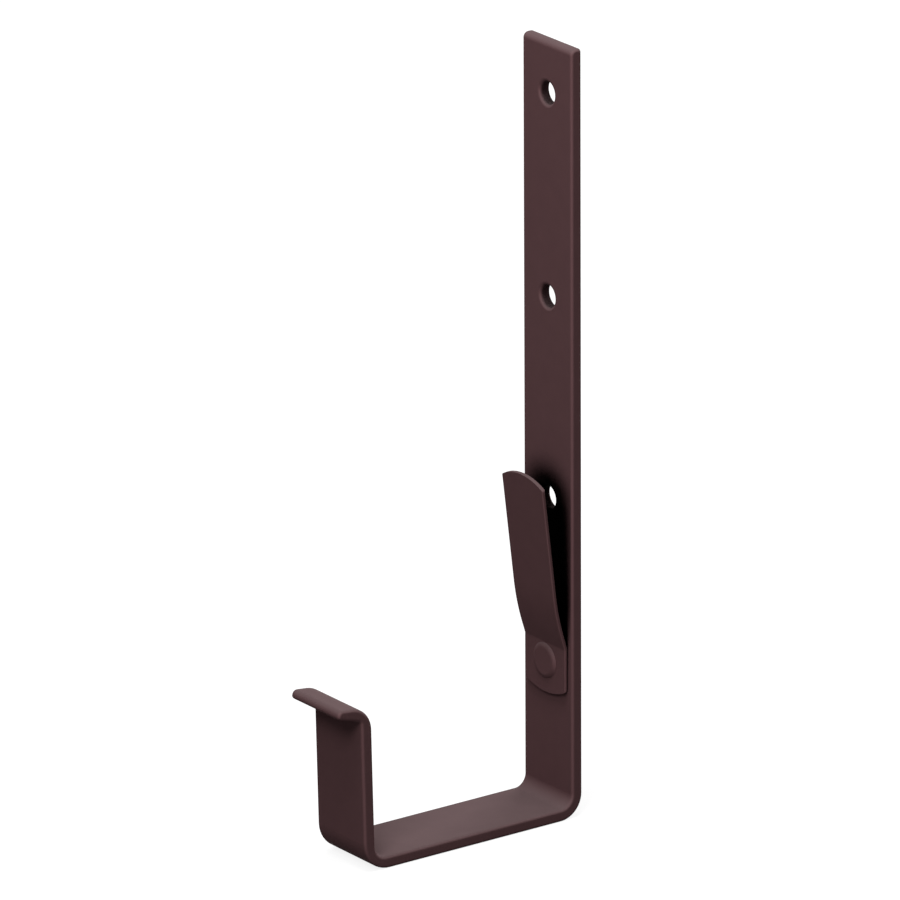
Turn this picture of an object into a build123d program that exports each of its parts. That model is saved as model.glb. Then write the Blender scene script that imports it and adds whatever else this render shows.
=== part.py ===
from build123d import *
from math import cos, radians, sin, tan
import os

# A hook bracket that carries a box gutter: one flat bar bent to a J, with a bendable sheet strip
# riveted to its long leg. All lengths are in millimetres and all angles in degrees. X runs across
# the bar, -Y is the gutter side and +Z is up. The origin is on the ground at the middle of the
# bounding box.

# Flat bar
BAR_WIDTH = 25.0
BAR_THICKNESS = 4.0
BAR_EDGE_RADIUS = 1.0

# Two roundings on opposite edges of a wall each take up to this share of its thickness
ROUNDING_SHARE = 0.45

# Roundings of the bar's two cut ends, as shares of the thickness there. The bar's edge radius is
# held to a share of the tightest of them.
TOP_END_FRONT_SHARE = 0.45
TOP_END_REAR_SHARE = 0.3
LIP_END_TOP_SHARE = 0.61
LIP_END_BOTTOM_SHARE = 0.37
EDGE_TO_END_SHARE = 0.97

# Hook, measured over the outside of the bar
BACK_LEG_HEIGHT = 248.6
SEAT_DEPTH = 82.6
FRONT_LEG_HEIGHT = 53.8
FRONT_LEG_LEAN = 1.3
REAR_BEND_INNER_RADIUS = 4.0
REAR_BEND_OUTER_RADIUS = 8.0
FRONT_BEND_INNER_RADIUS = 4.0
FRONT_BEND_OUTER_RADIUS = 9.6

# Lip at the top of the front leg
LIP_REACH = 8.3
LIP_RISE = 6.0
LIP_END_THICKNESS = 2.8
LIP_BEND_INNER_RADIUS = 1.3
LIP_BEND_OUTER_RADIUS = 8.2

# Fixing holes in the back leg
HOLE_COUNT = 3
HOLE_DIAMETER = 7.2
HOLE_SPACING = 65.0
TOP_HOLE_DROP = 16.6
HOLE_RIM_RADIUS = 1.1

# Sheet strip that is bent over the gutter's rear edge
STRIP_WIDTH = 20.8
STRIP_THICKNESS = 1.2
STRIP_EDGE_RADIUS = 0.4
STRIP_CORNER_RADIUS = 1.2
STRIP_FOOT_HEIGHT = 38.8
STRIP_FOOT_SAG = 2.4
STRIP_TIP_SAG = 2.8
STRIP_STEEP_LENGTH = 11.5
STRIP_STRAIGHT_LENGTH = 45.8
STRIP_STEEP_ANGLE = 17.5
STRIP_STRAIGHT_ANGLE = 6.9
STRIP_TIGHT_RADIUS = 2.2
STRIP_WIDE_RADIUS = 80.0

# Rivet through the strip and the back leg
RIVET_ABOVE_STRIP_FOOT = 10.3
RIVET_HEAD_DIAMETER = 11.5
RIVET_HEAD_HEIGHT = 0.8
RIVET_HEAD_SHOULDER = 1.5
RIVET_SHANK_DIAMETER = 5.0
RIVET_SINK_DIAMETER = 8.0
RIVET_SINK_DEPTH = 1.5
RIVET_HOLE_CLEARANCE = 0.05
RIVET_TO_BEND_GAP = 0.05

LEG_FRONT = -BAR_THICKNESS
STRIP_FRONT = LEG_FRONT - STRIP_THICKNESS
RIVET_HEIGHT = STRIP_FOOT_HEIGHT + RIVET_ABOVE_STRIP_FOOT


def rounding(radius, wall):
    """The radius, held to what fits on both edges of the wall."""
    return min(radius, ROUNDING_SHARE * wall)


def heading(angle):
    """A unit vector in the YZ plane, leaning from straight up towards -Y by the angle."""
    return Vector(0, -sin(radians(angle)), cos(radians(angle)))


def bar_outline():
    """The bar seen from the side, with a radius at each corner."""
    rear_top = Vector(0, 0, BACK_LEG_HEIGHT)
    rear_corner = Vector(0, 0, 0)
    front_corner = Vector(0, -SEAT_DEPTH, 0)
    up_leg = heading(FRONT_LEG_LEAN) / cos(radians(FRONT_LEG_LEAN))
    out_lip = heading(90 - LIP_RISE) / cos(radians(LIP_RISE))
    under_lip = front_corner + up_leg * (FRONT_LEG_HEIGHT - BAR_THICKNESS)
    leg_run = BAR_THICKNESS / cos(radians(FRONT_LEG_LEAN))
    over_lip = front_corner + up_leg * FRONT_LEG_HEIGHT + Vector(0, leg_run, 0)
    tip_top = over_lip + out_lip * (LIP_REACH + BAR_THICKNESS)
    tip_bottom = tip_top + heading(180 - LIP_RISE) * LIP_END_THICKNESS
    seat_front = front_corner + up_leg * BAR_THICKNESS + Vector(0, leg_run, 0)
    seat_rear = Vector(0, -BAR_THICKNESS, BAR_THICKNESS)
    front_top = Vector(0, -BAR_THICKNESS, BACK_LEG_HEIGHT)
    corners = [
        (rear_top, TOP_END_REAR_SHARE * BAR_THICKNESS),
        (rear_corner, REAR_BEND_OUTER_RADIUS),
        (front_corner, FRONT_BEND_OUTER_RADIUS),
        (under_lip, LIP_BEND_INNER_RADIUS),
        (tip_bottom, LIP_END_BOTTOM_SHARE * LIP_END_THICKNESS),
        (tip_top, LIP_END_TOP_SHARE * LIP_END_THICKNESS),
        (over_lip, LIP_BEND_OUTER_RADIUS),
        (seat_front, FRONT_BEND_INNER_RADIUS),
        (seat_rear, REAR_BEND_INNER_RADIUS),
        (front_top, TOP_END_FRONT_SHARE * BAR_THICKNESS),
    ]
    points = [point for point, radius in corners]
    radii = [radius for point, radius in corners]
    return FilletPolyline(*points, radius=radii, close=True)


def fixing_hole_heights():
    """The heights of the fixing holes, from the top one down."""
    top = BACK_LEG_HEIGHT - TOP_HOLE_DROP
    return [top - index * HOLE_SPACING for index in range(HOLE_COUNT)]


def fixing_hole_cutter(height):
    """A round hole through the back leg whose rims flare out with the rim radius."""
    bore = HOLE_DIAMETER / 2
    rim = rounding(HOLE_RIM_RADIUS, BAR_THICKNESS)
    mouth = bore + rim
    with BuildPart() as cutter:
        with BuildSketch(Plane.XY):
            with BuildLine():
                Polyline((0, 0), (mouth, 0))
                RadiusArc((mouth, 0), (bore, -rim), rim)
                Line((bore, -rim), (bore, rim - BAR_THICKNESS))
                RadiusArc((bore, rim - BAR_THICKNESS), (mouth, -BAR_THICKNESS), rim)
                Polyline((mouth, -BAR_THICKNESS), (0, -BAR_THICKNESS), (0, 0))
            make_face()
        revolve(axis=Axis.Y)
    return Pos(0, 0, height) * cutter.part


def bracket_bar():
    """The bent flat bar with its fixing holes and the rivet's countersunk hole."""
    bar = extrude(make_face(bar_outline()), amount=BAR_WIDTH / 2, both=True)
    tightest_end = min(TOP_END_REAR_SHARE * BAR_THICKNESS, LIP_END_BOTTOM_SHARE * LIP_END_THICKNESS)
    edge_radius = min(BAR_EDGE_RADIUS, EDGE_TO_END_SHARE * tightest_end)
    bar = fillet(bar.faces().filter_by(Axis.X).edges(), edge_radius)
    for height in fixing_hole_heights():
        bar -= fixing_hole_cutter(height)
    return bar - rivet_shank(RIVET_HOLE_CLEARANCE)


def strip_route():
    """The middle line of the strip: flat on the leg, then out steeply, then nearly upright."""
    bend_run = STRIP_TIGHT_RADIUS * tan(radians(STRIP_STEEP_ANGLE / 2))
    flat_run = RIVET_ABOVE_STRIP_FOOT + RIVET_HEAD_DIAMETER / 2 + RIVET_TO_BEND_GAP + bend_run
    foot = Vector(0, LEG_FRONT - STRIP_THICKNESS / 2, STRIP_FOOT_HEIGHT)
    first_bend = foot + heading(0) * flat_run
    second_bend = first_bend + heading(STRIP_STEEP_ANGLE) * STRIP_STEEP_LENGTH
    tip = second_bend + heading(STRIP_STRAIGHT_ANGLE) * STRIP_STRAIGHT_LENGTH
    bend_radii = [STRIP_TIGHT_RADIUS, STRIP_WIDE_RADIUS]
    return FilletPolyline(foot, first_bend, second_bend, tip, radius=bend_radii)


def strip_end_cutter(end, outward, sag):
    """What is trimmed off one end of the strip so that the end bows outwards between round corners."""
    flat_on_strip = Plane(origin=end, x_dir=(1, 0, 0), z_dir=Vector(1, 0, 0).cross(outward))
    bow_radius = (STRIP_WIDTH**2 / 4 + sag**2) / (2 * sag)
    strip_plan = Pos(0, -STRIP_WIDTH / 2) * Rectangle(STRIP_WIDTH, STRIP_WIDTH)
    bowed_plan = strip_plan & Pos(0, -bow_radius) * Circle(bow_radius)
    bowed_plan = fillet(bowed_plan.vertices().group_by(Axis.Y)[-1], STRIP_CORNER_RADIUS)
    trim = Rectangle(2 * STRIP_WIDTH, STRIP_WIDTH) - bowed_plan
    return extrude(flat_on_strip * trim, amount=2 * STRIP_THICKNESS, both=True)


def retaining_strip():
    """The bent sheet strip with bowed ends and the rivet's hole."""
    route = strip_route()
    across_foot = Plane(origin=route @ 0, x_dir=(1, 0, 0), z_dir=route % 0)
    edge_radius = rounding(STRIP_EDGE_RADIUS, STRIP_THICKNESS)
    strip = sweep(across_foot * RectangleRounded(STRIP_WIDTH, STRIP_THICKNESS, edge_radius), path=route)
    strip -= strip_end_cutter(route @ 0, -(route % 0), STRIP_FOOT_SAG)
    strip -= strip_end_cutter(route @ 1, route % 1, STRIP_TIP_SAG)
    return strip - rivet_shank(RIVET_HOLE_CLEARANCE)


def rivet_shank(clearance):
    """The rivet below its head: a shank that widens to a flush countersunk end at the leg's back."""
    shank = RIVET_SHANK_DIAMETER / 2 + clearance
    sink = RIVET_SINK_DIAMETER / 2 + clearance
    with BuildPart() as body:
        with BuildSketch(Plane.XY):
            with BuildLine():
                Polyline((0, STRIP_FRONT), (0, 0), (sink, 0), (shank, -RIVET_SINK_DEPTH))
                Polyline((shank, -RIVET_SINK_DEPTH), (shank, STRIP_FRONT), (0, STRIP_FRONT))
            make_face()
        revolve(axis=Axis.Y)
    return Pos(0, 0, RIVET_HEIGHT) * body.part


def rivet():
    """The rivet with its low head on the strip, flat inside a rounded shoulder."""
    rim = RIVET_HEAD_DIAMETER / 2
    flat = rim - RIVET_HEAD_SHOULDER
    face = STRIP_FRONT - RIVET_HEAD_HEIGHT
    shoulder_radius = (RIVET_HEAD_SHOULDER**2 + RIVET_HEAD_HEIGHT**2) / (2 * RIVET_HEAD_HEIGHT)
    with BuildPart() as head:
        with BuildSketch(Plane.XY):
            with BuildLine():
                Line((0, STRIP_FRONT), (rim, STRIP_FRONT))
                RadiusArc((rim, STRIP_FRONT), (flat, face), shoulder_radius)
                Polyline((flat, face), (0, face), (0, STRIP_FRONT))
            make_face()
        revolve(axis=Axis.Y)
    return Pos(0, 0, RIVET_HEIGHT) * head.part + rivet_shank(0)


def main():
    pieces = {"bracket_bar": bracket_bar(), "retaining_strip": retaining_strip(), "strip_rivet": rivet()}
    box = pieces["bracket_bar"].bounding_box()
    centring = Pos(0, -(box.min.Y + box.max.Y) / 2, -box.min.Z)
    os.makedirs("parts", exist_ok=True)
    for node, piece in pieces.items():
        export_step(centring * piece, f"parts/{node}.step")


main()
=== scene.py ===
import math

import bpy
from mathutils import Matrix, Vector


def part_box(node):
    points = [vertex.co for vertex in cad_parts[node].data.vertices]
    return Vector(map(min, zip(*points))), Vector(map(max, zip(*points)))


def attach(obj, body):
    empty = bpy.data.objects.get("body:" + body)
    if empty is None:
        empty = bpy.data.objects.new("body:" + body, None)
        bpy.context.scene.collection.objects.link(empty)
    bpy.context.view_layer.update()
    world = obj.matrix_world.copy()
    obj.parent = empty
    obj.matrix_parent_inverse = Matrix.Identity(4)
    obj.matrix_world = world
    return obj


# A hook bracket for a box gutter, in a brown satin powder coat, on a pale floor under soft studio
# light. Lengths are in metres and angles in degrees, in the frame of the construction model: X
# runs across the bar, -Y is the gutter side and +Z is up.

# Camera
CAMERA_AZIMUTH = 53.99268
CAMERA_ELEVATION = 19.17567
CAMERA_ROLL = -0.28313
CAMERA_DISTANCE = 3.68435
CAMERA_RIGHT_OFFSET = 0.000753
CAMERA_UP_OFFSET = 0.000124
CAMERA_LENS_MM = 483.657
CAMERA_SENSOR_MM = 36.0
CAMERA_TARGET = Vector((0, 0.006162, 0.125))

# Floor and light
FLOOR_RADIUS = 4.0
FLOOR_SIDES = 72
FLOOR_ALBEDO = 0.18
FLOOR_LIFT = 0.86
WORLD_LIGHT = 0.1
WORLD_SEEN = 1.0
LAMPS = {
    "key_softbox": {"position": (0.42, -0.6, 0.75), "size": 0.35, "watts": 5.6},
    "overhead_softbox": {"position": (0.1, -0.15, 1.1), "size": 0.5, "watts": 11.6},
    "back_softbox": {"position": (-0.8, 1.4, 0.5), "size": 0.8, "watts": 26.0},
}
LAMP_AIM = Vector((0, 0, 0.12))

# Rounded rims that fill the scooped mouths of the fixing holes
HOLE_COUNT = 3
HOLE_SPACING = 0.065
HOLE_BORE_RADIUS = 0.0036
HOLE_RIM_RADIUS = 0.0011
TOP_HOLE_DROP = 0.0166
LEG_THICKNESS = 0.004
RIM_LIFT = 0.00002
RIM_STEPS = 10
RIM_TURNS = 96
RIM_SHARP_ANGLE = 40

# Coating: its base, and a paler colour painted where the surface faces up, as painted light on the tops
COAT_COLOUR = (0.0875, 0.0452, 0.0480)
COAT_PAINTED_TOP_LIGHT_COLOUR = (0.0950, 0.0635, 0.0655)
COAT_SPECULAR = 0.001
COAT_ROUGHNESS = 0.52
COAT_ROUGHNESS_SPREAD = 0.08
COAT_MOTTLE_SIZE = 0.006
COAT_MOTTLE_DETAIL = 3
COAT_MOTTLE_DEPTH = 0.06
COAT_PEEL_SIZE = 0.0009
COAT_PEEL_DETAIL = 2
COAT_PEEL_DEPTH = 0.000006
COATED_SLOTS = {
    "bracket_bar": "coated_bar",
    "retaining_strip": "coated_strip",
    "strip_rivet": "coated_rivet",
}

# Painted highlight as a light band on the upright roundings: its strength, and how far round towards the
# side it lies
PAINTED_EDGE_HIGHLIGHT = 0.5
EDGE_TURN = 3

# Painted shade in the crevices, by the open share of what a point sees within reach, raised near the
# seat
PAINTED_SHADE_REACH = 0.018
PAINTED_SHADE_CLOSED = 0.52
PAINTED_SHADE_OPEN = 0.85
PAINTED_SHADE_LOW_GAIN = 0.65
PAINTED_SHADE_LOW_HEIGHT = 0.07


def camera_axes():
    """The camera's right, up and backward directions."""
    azimuth = math.radians(CAMERA_AZIMUTH)
    elevation = math.radians(CAMERA_ELEVATION)
    roll = math.radians(CAMERA_ROLL)
    level_right = Vector((math.cos(azimuth), math.sin(azimuth), 0))
    back = Vector((
        math.sin(azimuth) * math.cos(elevation),
        -math.cos(azimuth) * math.cos(elevation),
        math.sin(elevation),
    ))
    level_up = back.cross(level_right)
    right = level_right * math.cos(roll) + level_up * math.sin(roll)
    up = level_up * math.cos(roll) - level_right * math.sin(roll)
    return right, up, back


def add_camera():
    """The camera at the photograph's angle and distance."""
    right, up, back = camera_axes()
    data = bpy.data.cameras.new("photo_camera")
    data.sensor_width = CAMERA_SENSOR_MM
    data.lens = CAMERA_LENS_MM
    camera = bpy.data.objects.new("photo_camera", data)
    bpy.context.scene.collection.objects.link(camera)
    place = CAMERA_TARGET + back * CAMERA_DISTANCE - right * CAMERA_RIGHT_OFFSET - up * CAMERA_UP_OFFSET
    turn = Matrix((right, up, back)).transposed().to_4x4()
    camera.matrix_world = Matrix.Translation(place) @ turn
    bpy.context.scene.camera = camera


def add_lamps():
    """Square soft boxes that all face the bracket."""
    for name, lamp in LAMPS.items():
        data = bpy.data.lights.new(name, "AREA")
        data.shape = "SQUARE"
        data.size = lamp["size"]
        data.energy = lamp["watts"]
        place = Vector(lamp["position"])
        light = bpy.data.objects.new(name, data)
        light.location = place
        light.rotation_euler = (LAMP_AIM - place).to_track_quat("-Z", "Y").to_euler()
        bpy.context.scene.collection.objects.link(light)


def calculate(tree, operation, first, second=0):
    """The result of one operation on one or two values, each a socket or a number."""
    node = tree.nodes.new("ShaderNodeMath")
    node.operation = operation
    for index, value in enumerate((first, second)):
        if isinstance(value, bpy.types.NodeSocket):
            tree.links.new(value, node.inputs[index])
        else:
            node.inputs[index].default_value = value
    return node.outputs["Value"]


def spread(tree, value, low, high):
    """The value from 0 to 1 mapped to run from low to high."""
    node = tree.nodes.new("ShaderNodeMapRange")
    node.inputs["To Min"].default_value = low
    node.inputs["To Max"].default_value = high
    tree.links.new(value, node.inputs["Value"])
    return node.outputs["Result"]


def noise(tree, place, size, detail):
    """A noise whose features measure about the given size."""
    node = tree.nodes.new("ShaderNodeTexNoise")
    node.inputs["Scale"].default_value = 1 / size
    node.inputs["Detail"].default_value = detail
    tree.links.new(place, node.inputs["Vector"])
    return node.outputs["Fac"]


def seen_factor(tree):
    """1 on rays from the camera and on reflected and refracted rays, 0 on the rays that light things."""
    path = tree.nodes.new("ShaderNodeLightPath")
    seen = path.outputs["Is Camera Ray"]
    for ray in ("Is Glossy Ray", "Is Transmission Ray"):
        seen = calculate(tree, "MAXIMUM", seen, path.outputs[ray])
    return seen


def set_world():
    """A white surround that gives a weaker even light."""
    world = bpy.data.worlds.new("studio")
    world.use_nodes = True
    tree = world.node_tree
    background = tree.nodes["Background"]
    background.inputs["Color"].default_value = (1, 1, 1, 1)
    strength = spread(tree, seen_factor(tree), WORLD_LIGHT, WORLD_SEEN)
    tree.links.new(strength, background.inputs["Strength"])
    bpy.context.scene.world = world


def floor_finish():
    """A pale matt floor with a glow that only the camera and reflections see."""
    material = bpy.data.materials.new("studio_floor")
    material.use_nodes = True
    tree = material.node_tree
    tree.nodes.clear()
    diffuse = tree.nodes.new("ShaderNodeBsdfDiffuse")
    diffuse.inputs["Color"].default_value = (FLOOR_ALBEDO, FLOOR_ALBEDO, FLOOR_ALBEDO, 1)
    glow = tree.nodes.new("ShaderNodeEmission")
    lift = calculate(tree, "MULTIPLY", seen_factor(tree), FLOOR_LIFT)
    tree.links.new(lift, glow.inputs["Strength"])
    both = tree.nodes.new("ShaderNodeAddShader")
    tree.links.new(diffuse.outputs["BSDF"], both.inputs[0])
    tree.links.new(glow.outputs["Emission"], both.inputs[1])
    output = tree.nodes.new("ShaderNodeOutputMaterial")
    tree.links.new(both.outputs["Shader"], output.inputs["Surface"])
    return material


def add_floor():
    """A round floor that shows white to the camera but keeps the bracket's shadow."""
    turns = [math.radians(360 * side / FLOOR_SIDES) for side in range(FLOOR_SIDES)]
    corners = [(FLOOR_RADIUS * math.cos(turn), FLOOR_RADIUS * math.sin(turn), 0) for turn in turns]
    mesh = bpy.data.meshes.new("studio_floor")
    mesh.from_pydata(corners, [], [list(range(FLOOR_SIDES))])
    mesh.materials.append(floor_finish())
    floor = bpy.data.objects.new("studio_floor", mesh)
    bpy.context.scene.collection.objects.link(floor)


def facing(tree):
    """How far the surface faces sideways, upward, and either up or down, in the bracket's frame."""
    parts = tree.nodes.new("ShaderNodeSeparateXYZ")
    tree.links.new(tree.nodes.new("ShaderNodeTexCoord").outputs["Normal"], parts.inputs["Vector"])
    sideways = calculate(tree, "ABSOLUTE", parts.outputs["X"])
    upward = calculate(tree, "MAXIMUM", parts.outputs["Z"])
    level = calculate(tree, "ABSOLUTE", parts.outputs["Z"])
    return sideways, upward, level


def painted_highlight_factor(tree, sideways, level):
    """Up to 1 on the upright roundings between the wide faces and the sides of the bar, 0 on both: the
    mask of the painted highlight.
    """
    peak = (EDGE_TURN / (EDGE_TURN + 1)) ** EDGE_TURN / (EDGE_TURN + 1)
    turned = calculate(tree, "POWER", sideways, EDGE_TURN)
    # Painted highlight: a band that peaks part way round each upright rounding.
    band = calculate(tree, "MULTIPLY", turned, calculate(tree, "SUBTRACT", 1, sideways))
    upright = calculate(tree, "DIVIDE", calculate(tree, "SUBTRACT", 1, level), peak)
    return calculate(tree, "MULTIPLY", band, upright)


def low_factor(tree, place):
    """1 on the ground, falling to 0 at the height up to which the painted shade in crevices stays
    lighter.
    """
    parts = tree.nodes.new("ShaderNodeSeparateXYZ")
    tree.links.new(place, parts.inputs["Vector"])
    height = calculate(tree, "DIVIDE", parts.outputs["Z"], PAINTED_SHADE_LOW_HEIGHT)
    return calculate(tree, "MAXIMUM", calculate(tree, "SUBTRACT", 1, height))


def painted_shade_factor(tree, place):
    """Painted shade: 1 on open surfaces, falling to 0 deep in the gaps and holes, less so near the seat.
    """
    # Painted shade from ambient occlusion: darker where little is open within reach.
    occlusion = tree.nodes.new("ShaderNodeAmbientOcclusion")
    occlusion.inputs["Distance"].default_value = PAINTED_SHADE_REACH
    gain = calculate(tree, "MULTIPLY", low_factor(tree, place), PAINTED_SHADE_LOW_GAIN)
    openness = calculate(tree, "ADD", occlusion.outputs["AO"], gain)
    shade = tree.nodes.new("ShaderNodeMapRange")
    shade.inputs["From Min"].default_value = PAINTED_SHADE_CLOSED
    shade.inputs["From Max"].default_value = PAINTED_SHADE_OPEN
    tree.links.new(openness, shade.inputs["Value"])
    return shade.outputs["Result"]


def mottle_and_painted_light(tree, place, sideways, level):
    """Faint mottle, with a painted highlight on the upright roundings and painted shade in the crevices.
    """
    mottle = noise(tree, place, COAT_MOTTLE_SIZE, COAT_MOTTLE_DETAIL)
    brightness = spread(tree, mottle, 1 - COAT_MOTTLE_DEPTH, 1 + COAT_MOTTLE_DEPTH)
    # Painted highlight: lighter colour on the upright roundings.
    painted_highlight = calculate(tree, "MULTIPLY", painted_highlight_factor(tree, sideways, level), PAINTED_EDGE_HIGHLIGHT)
    brightness = calculate(tree, "MULTIPLY", brightness, calculate(tree, "ADD", painted_highlight, 1))
    # Painted shade: the colour darkens in the crevices.
    return calculate(tree, "MULTIPLY", brightness, painted_shade_factor(tree, place))


def coat_colour(tree, place):
    """Brown, with painted light that makes it paler where the surface faces up, at the coat's
    brightness.
    """
    sideways, upward, level = facing(tree)
    # Painted light: the colour turns paler the more the surface faces up.
    painted_top_light = tree.nodes.new("ShaderNodeMix")
    painted_top_light.data_type = "VECTOR"
    painted_top_light.inputs["A"].default_value = COAT_COLOUR
    painted_top_light.inputs["B"].default_value = COAT_PAINTED_TOP_LIGHT_COLOUR
    tree.links.new(upward, painted_top_light.inputs["Factor"])
    colour = tree.nodes.new("ShaderNodeVectorMath")
    colour.operation = "SCALE"
    tree.links.new(painted_top_light.outputs["Result"], colour.inputs[0])
    tree.links.new(mottle_and_painted_light(tree, place, sideways, level), colour.inputs["Scale"])
    return colour.outputs["Vector"]


def add_orange_peel(tree, place, shader):
    """The coat's fine peel, in its roughness and its bumps."""
    peel = noise(tree, place, COAT_PEEL_SIZE, COAT_PEEL_DETAIL)
    smoothest = COAT_ROUGHNESS - COAT_ROUGHNESS_SPREAD
    roughest = COAT_ROUGHNESS + COAT_ROUGHNESS_SPREAD
    tree.links.new(spread(tree, peel, smoothest, roughest), shader.inputs["Roughness"])
    bump = tree.nodes.new("ShaderNodeBump")
    bump.inputs["Distance"].default_value = COAT_PEEL_DEPTH
    tree.links.new(peel, bump.inputs["Height"])
    tree.links.new(bump.outputs["Normal"], shader.inputs["Normal"])


def powder_coat(name):
    """Brown satin powder coat over a fine orange peel, with painted light on its tops, a painted
    highlight on its upright roundings and painted shade in its crevices.
    """
    material = bpy.data.materials.new(name)
    material.use_nodes = True
    tree = material.node_tree
    shader = tree.nodes["Principled BSDF"]
    shader.inputs["Specular IOR Level"].default_value = COAT_SPECULAR
    place = tree.nodes.new("ShaderNodeTexCoord").outputs["Object"]
    tree.links.new(coat_colour(tree, place), shader.inputs["Base Color"])
    add_orange_peel(tree, place, shader)
    return material


def finish_pieces(frame):
    """Each piece of the bracket gets its coat."""
    for name, slot in COATED_SLOTS.items():
        piece = frame["nodes"][name]
        piece.material_slots[0].material = powder_coat(slot)


def rim_profile():
    """The rim's section as radius and depth under the face: rounded inside, scooped outside."""
    mouth = HOLE_BORE_RADIUS + HOLE_RIM_RADIUS
    turns = [math.radians(90 * step / RIM_STEPS) for step in range(RIM_STEPS + 1)]
    inner = [
        (mouth - HOLE_RIM_RADIUS * math.sin(turn), HOLE_RIM_RADIUS * (1 - math.cos(turn)))
        for turn in turns
    ]
    outer = [
        (HOLE_BORE_RADIUS + HOLE_RIM_RADIUS * math.sin(turn), HOLE_RIM_RADIUS * math.cos(turn))
        for turn in turns[1:-1]
    ]
    return inner + outer


def rim_faces(count, inward):
    """The four-sided faces between neighbouring sections of a rim, each section with count points."""
    faces = []
    for turn in range(RIM_TURNS):
        here = turn * count
        there = (turn + 1) % RIM_TURNS * count
        for step in range(count):
            following = (step + 1) % count
            corners = (here + step, there + step, there + following, here + following)
            faces.append(corners if inward > 0 else corners[::-1])
    return faces


def add_rim(name, height, face, inward, material):
    """One rounded rim on a face of the leg, its depth running inward along Y."""
    profile = rim_profile()
    points = []
    for turn in range(RIM_TURNS):
        angle = 2 * math.pi * turn / RIM_TURNS
        for radius, depth in profile:
            across = radius * math.cos(angle)
            rise = radius * math.sin(angle)
            points.append((across, face + inward * (depth - RIM_LIFT), height + rise))
    mesh = bpy.data.meshes.new(name)
    mesh.from_pydata(points, [], rim_faces(len(profile), inward))
    mesh.polygons.foreach_set("use_smooth", [True] * len(mesh.polygons))
    mesh.set_sharp_from_angle(angle=math.radians(RIM_SHARP_ANGLE))
    mesh.materials.append(material)
    rim = bpy.data.objects.new(name, mesh)
    bpy.context.scene.collection.objects.link(rim)
    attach(rim, "root")


def add_rims():
    """A rounded rim at the front and the back of each fixing hole."""
    leg_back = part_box("bracket_bar")[1].y
    leg_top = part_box("bracket_bar")[1].z
    material = powder_coat("coated_rims")
    for index in range(HOLE_COUNT):
        height = leg_top - TOP_HOLE_DROP - index * HOLE_SPACING
        add_rim(f"front_rim_{index + 1}", height, leg_back - LEG_THICKNESS, 1, material)
        add_rim(f"back_rim_{index + 1}", height, leg_back, -1, material)


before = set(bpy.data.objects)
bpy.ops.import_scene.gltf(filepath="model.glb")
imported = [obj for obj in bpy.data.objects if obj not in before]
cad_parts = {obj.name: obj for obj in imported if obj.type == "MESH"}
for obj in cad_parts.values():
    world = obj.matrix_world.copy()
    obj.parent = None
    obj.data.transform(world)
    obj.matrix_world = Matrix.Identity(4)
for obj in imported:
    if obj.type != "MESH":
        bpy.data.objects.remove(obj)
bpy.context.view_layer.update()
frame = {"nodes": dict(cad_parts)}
bpy.context.scene.view_settings.view_transform = "Standard"
add_camera()
add_lamps()
set_world()
add_floor()
finish_pieces(frame)
add_rims()
